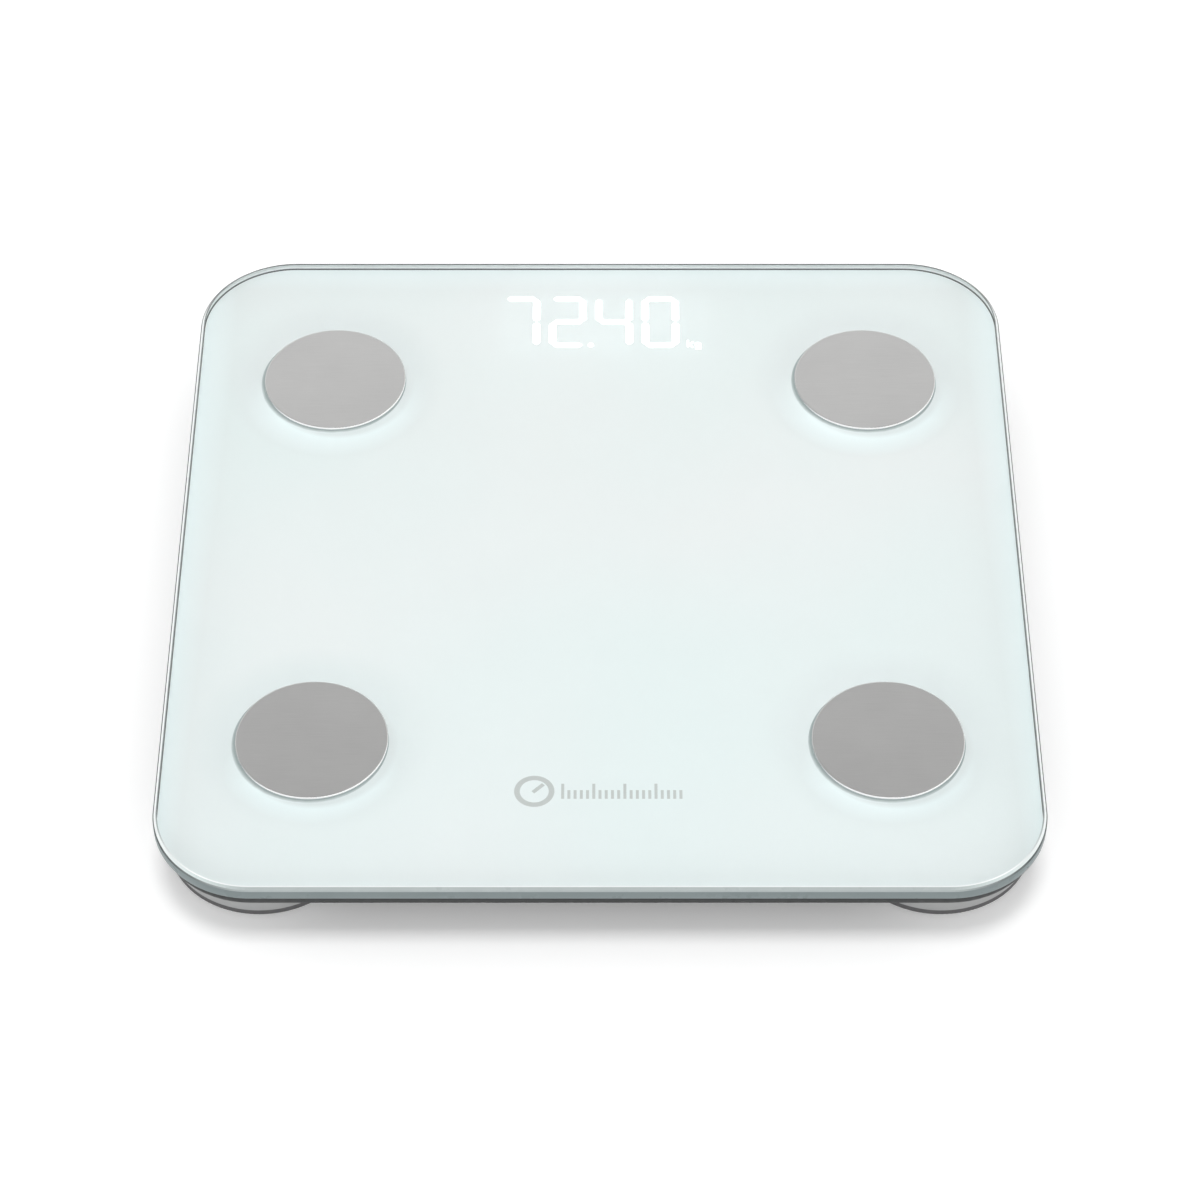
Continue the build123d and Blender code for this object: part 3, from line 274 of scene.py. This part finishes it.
def bevel_material(name, axis, turn, stops, shine=1.0):
    """Ground bevel with painted light and shade by the way it faces: along one axis, and painted shade to
    the rear.
    """
    shader = ground_edge(name, shine)
    facing = shader.facing(smooth=False)
    # Painted light and shade by facing, and painted shade where it faces the rear.
    bands = shader.ramp(shader.spread(facing[axis], 0.0, 1.0, start=-turn, end=turn), stops)
    rear = shader.spread(facing[1], 0.0, 1.0, start=0.06, end=0.3)
    tone = shader.blend(rear, bands, (0.04, 0.045, 0.045))
    clouds = shader.spread(shader.noise(220.0), 0.0, 0.12)
    shader.drive("Base Color", shader.blend(clouds, tone, (0.62, 0.68, 0.67)))
    return shader.material


def lining_material():
    """Inside of the plate's edge, seen through its top face: painted light, between two lines of painted
    shade.
    """
    shader = Shader("glass_lining")
    height = shader.split(shader.place)[2]
    bands = shader.ramp(shader.spread(height, 0.0, 1.0, start=GLASS_BOTTOM, end=GLASS_TOP), [
        (0.010, (0.90, 0.95, 0.95)),
        (0.018, (0.04, 0.05, 0.05)),
        (0.085, (0.04, 0.05, 0.05)),
        (0.115, (0.80, 0.83, 0.83)),
        (0.500, (0.80, 0.83, 0.83)),
        (0.550, (0.10, 0.12, 0.12)),
    ])
    clouds = shader.spread(shader.noise(90.0), 0.0, 0.1)
    shader.drive("Base Color", shader.blend(clouds, bands, (0.5, 0.55, 0.54)))
    shader.plain(Roughness=0.6)
    return shader.material


def print_light(shader, x, y):
    """How much painted light goes into the print's colour: most near its rim, in front, below the
    electrodes and round the figures.
    """
    away, above = off_electrode(shader, HALO_SHIFT)
    halo = round_disc(shader, away, 1.0, HALO_START, HALO_REACH)
    lower = shader.spread(above, 1.0, 0.0, start=HALO_FULL, end=HALO_NONE)
    parts = [shader.maths("MULTIPLY", halo, lower)]
    for place, edge, strength in ((x, glass_high[0], RIM_SIDES), (y, glass_high[1], RIM_ENDS)):
        outward = shader.maths("ABSOLUTE", place)
        parts.append(shader.spread(outward, 0.0, strength, start=edge - RIM_REACH, end=edge))
    parts.append(shader.spread(y, FRONT_LIGHT, 0.0, start=glass_low[1], end=glass_high[1] / 2))
    glow = GLOW
    for place, low, high in zip((x, y), *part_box("display_segments_lit")):
        offset = shader.maths("ABSOLUTE", shader.maths("SUBTRACT", place, (low + high) / 2))
        half = (high - low) / 2
        near = shader.spread(offset, 1.0, 0.0, start=half, end=half + GLOW_REACH)
        glow = shader.maths("MULTIPLY", near, glow)
    for part in parts:
        glow = shader.maths("MAXIMUM", glow, part)
    return glow


def print_material():
    """White enamel print, slightly minty in soft patches, with painted shade, a painted shadow and a
    painted halo of light round the electrodes, and painted light towards its rim, in front and round the
    figures.
    """
    shader = Shader("white_print")
    x, y, _ = shader.split(shader.place)
    patches = shader.spread(shader.noise(7.0, 2.0), 0.0, 1.0)
    tone = shader.blend(patches, (0.712, 0.730, 0.728), (0.672, 0.734, 0.728))
    # Painted shade: a duller ring round each electrode.
    away, _ = off_electrode(shader, DIM_SHIFT)
    dim = round_disc(shader, away, 1.0, DIM_START, DIM_REACH)
    tone = shader.blend(dim, tone, (0.655, 0.698, 0.697))
    # Painted light: towards the rim, in front, in a halo below each electrode and round the figures.
    tone = shader.blend(print_light(shader, x, y), tone, (0.78, 0.86, 0.865))
    # Painted shadow of each electrode on the print, to one side.
    away, _ = off_electrode(shader, SHADE_SHIFT)
    shade = round_disc(shader, away, SHADE_DEPTH, SHADE_START, SHADE_REACH)
    shader.drive("Base Color", shader.blend(shade, tone, (0.64, 0.675, 0.675)))
    shader.drive("Roughness", shader.spread(shader.noise(500.0), 0.45, 0.55))
    return shader.material


def mark_material():
    """Light grey print."""
    shader = Shader("grey_print")
    grain = shader.noise(900.0)
    shader.drive("Base Color", shader.blend(grain, (0.45, 0.475, 0.465), (0.49, 0.515, 0.505)))
    shader.plain(Roughness=0.5)
    return shader.material


def light_material():
    """Lit segments: a white light guide that glows, with slight mottling."""
    shader = Shader("lit_segments")
    mottling = shader.noise(300.0)
    shader.drive("Base Color", shader.blend(mottling, (0.95, 0.98, 0.98), (1.0, 1.0, 1.0)))
    shader.plain(Emission_Color=(0.95, 1.0, 1.0), Emission_Strength=0.9, Roughness=0.6)
    return shader.material


def shadow_ring_material():
    """Painted contact shadow round each electrode: grey-green against the electrode's rim, paler than the
    print at its outer edge.
    """
    shader = Shader("electrode_painted_shadow")
    away, _ = off_electrode(shader)
    outward = shader.spread(away, 0.0, 1.0, start=DISC_RADIUS, end=DISC_RADIUS + SHADOW_RING_REACH)
    wobble = shader.spread(shader.noise(300.0), -0.04, 0.04)
    bands = shader.ramp(shader.maths("ADD", outward, wobble), [
        (0.25, (0.29, 0.34, 0.34)),
        (0.60, (0.50, 0.56, 0.56)),
        (0.90, (0.76, 0.84, 0.845)),
    ])
    shader.drive("Base Color", bands)
    shader.plain(Roughness=0.35)
    return shader.material


def electrode_material():
    """Satin stainless steel, finely and evenly ground; its rim carries a painted highlight to the front
    and painted shade elsewhere.
    """
    shader = Shader("electrode_steel")
    lines = shader.lines((90.0, 5200.0, 90.0), 5.0)
    tone = shader.blend(lines, (0.53, 0.528, 0.523), (0.63, 0.628, 0.623))
    clouds = shader.spread(shader.noise(55.0), 0.0, 0.25)
    tone = shader.blend(clouds, tone, (0.68, 0.68, 0.67))
    # Painted highlight: the rim is near-white and hardly metallic where it faces the front, with painted
    # shade where it faces away.
    facing = shader.facing()
    rim = shader.spread(facing[2], 1.0, 0.0, start=0.8, end=0.97)
    ahead = shader.maths("SUBTRACT", shader.maths("MULTIPLY", facing[0], 0.4), facing[1])
    front = shader.spread(ahead, 0.0, 1.0, start=0.1, end=0.55)
    edge = shader.blend(front, (0.40, 0.41, 0.41), (0.98, 0.98, 0.98))
    shader.drive("Base Color", shader.blend(rim, tone, edge))
    shader.drive("Metallic", shader.spread(rim, 1.0, 0.05, start=0.0, end=1.0))
    shader.drive("Roughness", shader.spread(rim, 0.3, 0.16, start=0.0, end=1.0))
    shader.bump(lines, 0.003 * MM)
    return shader.material


GLASS = glass_material()
GLASS_SIDE = side_material()
# Painted light on bevel faces that turn to the sides, painted shade on those that face front and rear.
GLASS_BEVEL = bevel_material("glass_bevel", 0, BEVEL_TURN, [
    (0.0, (0.80, 0.83, 0.83)),
    (0.25, (0.62, 0.70, 0.69)),
    (0.5, (0.41, 0.45, 0.45)),
    (0.75, (0.62, 0.70, 0.69)),
    (1.0, (0.80, 0.83, 0.83)),
])
# Painted highlight on the top arris where it faces the front, painted shade at its sides and rear.
GLASS_TOP_ARRIS = bevel_material("glass_top_arris", 1, ARRIS_TURN, [
    (0.0, (0.60, 0.65, 0.65)),
    (0.15, (0.97, 0.99, 0.99)),
    (0.38, (0.40, 0.44, 0.44)),
    (0.5, (0.20, 0.22, 0.22)),
    (1.0, (0.03, 0.035, 0.035)),
], shine=0.3)
# Painted shade on the side arris, darkest where it faces the sides.
GLASS_SIDE_ARRIS = bevel_material("glass_side_arris", 0, BEVEL_TURN, [
    (0.0, (0.04, 0.05, 0.05)),
    (0.5, (0.38, 0.42, 0.42)),
    (1.0, (0.04, 0.05, 0.05)),
], shine=0.1)
GLASS_LINING = lining_material()
PRINT = print_material()
MARK = mark_material()
LIT = light_material()
SHADOW_RING = shadow_ring_material()
ELECTRODE = electrode_material()
SHELL = moulded("shell_plastic", (0.022, 0.0245, 0.025), roughness=0.55)
CUP = moulded("foot_plastic", (0.38, 0.385, 0.385), roughness=0.45)
RUBBER = moulded("foot_rubber", (0.11, 0.11, 0.112), roughness=0.75, grain=5000.0, depth=0.04 * MM)
BUTTON = moulded("button_plastic", (0.35, 0.36, 0.36), roughness=0.45)
WHITE_PLASTIC = moulded("white_plastic", (0.8, 0.8, 0.79), roughness=0.5)
IVORY_PLASTIC = moulded("connector_plastic", (0.72, 0.68, 0.56), roughness=0.45)
FOAM = moulded("foam_tape", (0.7, 0.72, 0.71), roughness=0.8, grain=3000.0, depth=0.05 * MM)
BOARD = moulded("circuit_board", (0.02, 0.12, 0.05), roughness=0.35, contrast=0.25)
CHIP = moulded("chip_epoxy", (0.02, 0.02, 0.02), roughness=0.5)
LED = moulded("led_epoxy", (0.85, 0.78, 0.42), roughness=0.25)
SLEEVE = moulded("lead_sleeve", (0.5, 0.02, 0.015), roughness=0.35)
RIBBON = moulded("ribbon_film", (0.62, 0.62, 0.6), roughness=0.35)
GAUGE = moulded("gauge_film", (0.55, 0.27, 0.06), roughness=0.3)
BATTERY = moulded("battery_sleeve", (0.03, 0.08, 0.16), roughness=0.3)
PLATED = metal("plated_steel", (0.66, 0.66, 0.68), roughness=0.22)
TINNED = metal("tinned_brass", (0.72, 0.66, 0.5), roughness=0.3)
SHIELD = metal("shield_can", (0.7, 0.7, 0.71), roughness=0.35)
CELL = metal("cell_steel", (0.5, 0.5, 0.51), roughness=0.38)

BY_NODE = {
    "glass_plate": GLASS,
    "print_layer": PRINT,
    "printed_mark": MARK,
    "display_segments_lit": LIT,
    "display_segments_unlit": WHITE_PLASTIC,
    "display_housing": WHITE_PLASTIC,
    "display_board": BOARD,
    "display_leds": LED,
    "display_ribbon": RIBBON,
    "electrode_gaskets": FOAM,
    "bonding_tape": FOAM,
    "electrode_nuts": PLATED,
    "electrode_terminals": TINNED,
    "bracket_screws": PLATED,
    "board_screws": PLATED,
    "battery_springs": PLATED,
    "battery_contacts": PLATED,
    "main_board": BOARD,
    "microcontroller": CHIP,
    "radio_module": SHIELD,
    "board_connectors": IVORY_PLASTIC,
    "unit_switch": IVORY_PLASTIC,
    "strain_gauges": GAUGE,
    "load_cell_leads": SLEEVE,
    "electrode_leads": SLEEVE,
    "battery_leads": SLEEVE,
    "base_shell": SHELL,
    "battery_door": SHELL,
    "unit_button": BUTTON,
    "battery_1": BATTERY,
    "battery_2": BATTERY,
    "battery_3": BATTERY,
}
BY_CORNER = {
    "electrode": ELECTRODE,
    "load_cell": CELL,
    "load_cell_bracket": WHITE_PLASTIC,
    "foot_cup": CUP,
    "foot_pad": RUBBER,
    "foot_screw": PLATED,
}
BY_NODE.update({f"{kind}_{corner}": made for kind, made in BY_CORNER.items() for corner in CORNERS})


def dress(piece, material):
    """Gives a piece one material on all its faces."""
    for place in piece.material_slots:
        place.material = material
    if not piece.material_slots:
        piece.data.materials.append(material)


for node, material in BY_NODE.items():
    dress(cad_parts[node], material)


# ---- Glass plate: clear faces, ground bevels and sides ------------------------------------------

BEVEL = 1.2 * MM
CORNER_RADIUS = 34.3 * MM
EDGE_ROUND = 0.12 * MM
ARRIS = 0.38 * MM
ARC_STEPS = 40
STUD_HOLE_RADIUS = 3.5 * MM
STUD_HOLE_STEP = 15
LINING_GAP = 0.12 * MM
LINING_THICKNESS = 0.1 * MM
# A hair-thin ring round each electrode that carries a painted contact shadow, shifted to the side the
# shadow falls to.
SHADOW_RING_LAP = 0.6 * MM
SHADOW_RING_WIDTH = 0.7 * MM
SHADOW_RING_HEIGHT = 0.045 * MM
SHADOW_RING_SHIFT = (-0.5 * MM, -1.1 * MM)
SHADOW_RING_STEP = 3


def rounded_outline(inset):
    """Points round the plate's outline, moved in by inset, counter-clockwise."""
    points = []
    radius = CORNER_RADIUS - inset
    for turn, (sx, sy) in enumerate(((1, 1), (-1, 1), (-1, -1), (1, -1))):
        centre_x = sx * (glass_high[0] - CORNER_RADIUS)
        centre_y = sy * (glass_high[1] - CORNER_RADIUS)
        for step in range(ARC_STEPS + 1):
            angle = math.radians(90.0 * (turn + step / ARC_STEPS))
            points.append((
                centre_x + radius * math.cos(angle),
                centre_y + radius * math.sin(angle),
            ))
    return points


def circle(centre, radius, step):
    """Points round a circle, one every step degrees, counter-clockwise."""
    angles = [math.radians(angle) for angle in range(0, 360, step)]
    return [(centre[0] + radius * math.cos(a), centre[1] + radius * math.sin(a)) for a in angles]


def electrode_middles():
    """The x and y of each electrode's middle."""
    boxes = [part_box(f"electrode_{corner}") for corner in CORNERS]
    return [((low[0] + high[0]) / 2, (low[1] + high[1]) / 2) for low, high in boxes]


def ring_at(shape, points, z):
    """New vertices of a shape at one height."""
    return [shape.verts.new((x, y, z)) for x, y in points]


def neighbours(ring):
    """Each item of a closed ring with the next one."""
    return list(zip(ring, ring[1:] + ring[:1]))


def bridge(shape, ring, next_ring):
    """A band of faces between two rings of equal length."""
    faces = []
    for (near, next_near), (far, next_far) in zip(neighbours(ring), neighbours(next_ring)):
        faces.append(shape.faces.new((near, far, next_far, next_near)))
    return faces


def finished(name, shape):
    """The object that a shape becomes, in the scene."""
    mesh = bpy.data.meshes.new(name)
    shape.to_mesh(mesh)
    shape.free()
    piece = bpy.data.objects.new(name, mesh)
    scene.collection.objects.link(piece)
    return piece


def make_glass():
    """The plate as rings of a rounded outline, with slightly eased bevel edges and four stud holes."""
    half = EDGE_ROUND / math.sqrt(2.0)
    materials = (GLASS, GLASS_BEVEL, GLASS_SIDE, GLASS_TOP_ARRIS, GLASS_SIDE_ARRIS)
    # Inset, height, and the material of the band that ends there.
    profile = [
        (BEVEL + ARRIS, GLASS_TOP, GLASS),
        (BEVEL - half, GLASS_TOP - half, GLASS_TOP_ARRIS),
        (ARRIS, GLASS_TOP - BEVEL + ARRIS, GLASS_BEVEL),
        (half, GLASS_TOP - BEVEL + half, GLASS_SIDE_ARRIS),
        (0.0, GLASS_TOP - BEVEL - EDGE_ROUND, GLASS_SIDE_ARRIS),
        (0.0, GLASS_BOTTOM + BEVEL + EDGE_ROUND, GLASS_SIDE),
        (half, GLASS_BOTTOM + BEVEL - half, GLASS_SIDE),
        (BEVEL - half, GLASS_BOTTOM + half, GLASS_SIDE),
        (BEVEL + EDGE_ROUND, GLASS_BOTTOM, GLASS_SIDE),
    ]
    plate = bmesh.new()
    rings = [ring_at(plate, rounded_outline(inset), z) for inset, z, _ in profile]
    for upper, lower, (_, _, material) in zip(rings, rings[1:], profile[1:]):
        for face in bridge(plate, upper, lower):
            face.material_index = materials.index(material)
            face.smooth = True
    top_loops, bottom_loops = [rings[0]], [rings[-1]]
    for middle in electrode_middles():
        hole = circle(middle, STUD_HOLE_RADIUS, STUD_HOLE_STEP)
        top_loops.append(ring_at(plate, hole, GLASS_TOP))
        bottom_loops.append(ring_at(plate, hole, GLASS_BOTTOM))
        bridge(plate, bottom_loops[-1], top_loops[-1])
    for loops in (top_loops, bottom_loops):
        edges = [plate.edges.get(pair) for loop in loops for pair in neighbours(loop)]
        bmesh.ops.triangle_fill(plate, edges=edges, use_beauty=True, use_dissolve=False)
    bmesh.ops.recalc_face_normals(plate, faces=plate.faces)
    glass = finished("plate_glass", plate)
    for material in materials:
        glass.data.materials.append(material)
    glass.visible_shadow = False
    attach(glass, "platform")
    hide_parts("glass_plate")


def make_lining():
    """A thin closed band just inside the plate's side and lower bevel, which carries the edge's painted
    light and shade as seen from inside.
    """
    far = LINING_GAP + LINING_THICKNESS
    top = GLASS_TOP - BEVEL - LINING_GAP
    knee = GLASS_BOTTOM + BEVEL
    toe = GLASS_BOTTOM + LINING_THICKNESS
    section = [
        (LINING_GAP, top),
        (LINING_GAP, knee),
        (BEVEL, toe),
        (BEVEL + LINING_THICKNESS, toe),
        (far, knee),
        (far, top),
    ]
    band = bmesh.new()
    rings = [ring_at(band, rounded_outline(inset), z) for inset, z in section]
    for ring, next_ring in neighbours(rings):
        bridge(band, ring, next_ring)
    bmesh.ops.recalc_face_normals(band, faces=band.faces)
    lining = finished("plate_edge_lining", band)
    dress(lining, GLASS_LINING)
    lining.visible_shadow = False
    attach(lining, "platform")


def make_shadow_rings():
    """A hair-thin ring on the glass round each electrode that carries a painted contact shadow, wider on
    the side the shadow falls to.
    """
    shadow_shape = bmesh.new()
    for x, y in electrode_middles():
        shifted = (x + SHADOW_RING_SHIFT[0], y + SHADOW_RING_SHIFT[1])
        inner = circle((x, y), DISC_RADIUS - SHADOW_RING_LAP, SHADOW_RING_STEP)
        rings = [
            ring_at(shadow_shape, inner, GLASS_TOP),
            ring_at(shadow_shape, inner, GLASS_TOP + SHADOW_RING_HEIGHT),
            ring_at(shadow_shape, circle(shifted, DISC_RADIUS + SHADOW_RING_WIDTH, SHADOW_RING_STEP), GLASS_TOP),
        ]
        for ring, next_ring in neighbours(rings):
            bridge(shadow_shape, ring, next_ring)
    bmesh.ops.recalc_face_normals(shadow_shape, faces=shadow_shape.faces)
    shadow_rings = finished("electrode_painted_shadows", shadow_shape)
    dress(shadow_rings, SHADOW_RING)
    shadow_rings.visible_shadow = False
    shadow_rings.visible_diffuse = False
    shadow_rings.visible_transmission = False
    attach(shadow_rings, "platform")


make_glass()
make_lining()
make_shadow_rings()

# The electrodes' light and shade on the print are in its material, so they cast none through the glass.
for corner in CORNERS:
    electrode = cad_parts[f"electrode_{corner}"]
    electrode.visible_shadow = False
    electrode.visible_transmission = False
    electrode.visible_diffuse = False
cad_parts["electrode_gaskets"].visible_shadow = False
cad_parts["electrode_gaskets"].visible_transmission = False

# ---- Printed pieces, in optical contact with the glass ------------------------------------------

PRINT_LIFT = 0.02 * MM
INK_LIFT = 0.03 * MM
UPPER_FACE = 0.05 * MM


def lifted(name, node, material, lift):
    """A copy of a thin CAD node, raised a hair into the glass so that no air shows between them."""
    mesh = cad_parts[node].data.copy()
    mesh.name = name
    for vertex in mesh.vertices:
        if vertex.co.z > GLASS_BOTTOM - UPPER_FACE:
            vertex.co.z = GLASS_BOTTOM + lift
    piece = bpy.data.objects.new(name, mesh)
    scene.collection.objects.link(piece)
    dress(piece, material)
    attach(piece, "platform")
    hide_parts(node)


lifted("plate_print", "print_layer", PRINT, PRINT_LIFT)
lifted("plate_mark", "printed_mark", MARK, INK_LIFT)
lifted("display_figures", "display_segments_lit", LIT, INK_LIFT)


# ---- Floor, light and camera --------------------------------------------------------------------

FLOOR_HALF = 3.0

# Brightness of the studio by the sine of the height above the horizon.
SKY = ((0.63, 1.0), (0.79, 0.3))
SKY_STRENGTH = 1.25

LAMP_PLACE = (0.0, 0.5, 3.7)
LAMP_SIZE = 1.6
LAMP_POWER = 50.0

CAMERA_PLACE = (0.0, -0.95483, 1.03636)
CAMERA_DOWN = 47.4
LENS = 117.47
SENSOR_WIDTH = 36.0


def make_floor():
    """A plain pale floor."""
    square = bmesh.new()
    points = [(x * FLOOR_HALF, y * FLOOR_HALF) for x, y in ((-1, -1), (1, -1), (1, 1), (-1, 1))]
    square.faces.new(ring_at(square, points, 0.0))
    floor = finished("floor", square)
    shader = Shader("floor")
    shader.plain(Base_Color=(0.95, 0.95, 0.95), Roughness=0.9)
    shader.plain(Emission_Color=(1.0, 1.0, 1.0), Emission_Strength=0.12)
    dress(floor, shader.material)


def make_lamp():
    """A square soft box overhead, turned to the object."""
    data = bpy.data.lights.new("overhead", "AREA")
    data.size = LAMP_SIZE
    data.energy = LAMP_POWER
    lamp = bpy.data.objects.new("overhead", data)
    lamp.location = LAMP_PLACE
    lamp.rotation_euler = (-Vector(LAMP_PLACE)).to_track_quat("-Z", "Y").to_euler()
    lamp.visible_glossy = False
    scene.collection.objects.link(lamp)


def make_world():
    """A white studio, dimmer overhead than round the horizon."""
    world = bpy.data.worlds.new("studio")
    world.use_nodes = True
    nodes, links = world.node_tree.nodes, world.node_tree.links
    height = nodes.new("ShaderNodeSeparateXYZ")
    links.new(nodes.new("ShaderNodeTexCoord").outputs["Generated"], height.inputs[0])
    fall = nodes.new("ShaderNodeValToRGB")
    fall.color_ramp.interpolation = "EASE"
    for element, (position, level) in zip(fall.color_ramp.elements, SKY):
        element.position = position
        element.color = (level, level, level, 1.0)
    links.new(height.outputs["Z"], fall.inputs["Fac"])
    links.new(fall.outputs["Color"], nodes["Background"].inputs["Color"])
    nodes["Background"].inputs["Strength"].default_value = SKY_STRENGTH
    scene.world = world


def make_camera():
    """The camera, in front of the object and looking down at it."""
    data = bpy.data.cameras.new("camera")
    data.lens = LENS
    data.sensor_width = SENSOR_WIDTH
    camera = bpy.data.objects.new("camera", data)
    camera.location = CAMERA_PLACE
    camera.rotation_euler = (math.radians(90.0 - CAMERA_DOWN), 0.0, 0.0)
    scene.collection.objects.link(camera)
    scene.camera = camera


make_floor()
make_world()
make_lamp()
make_camera()
scene.view_settings.view_transform = "Standard"
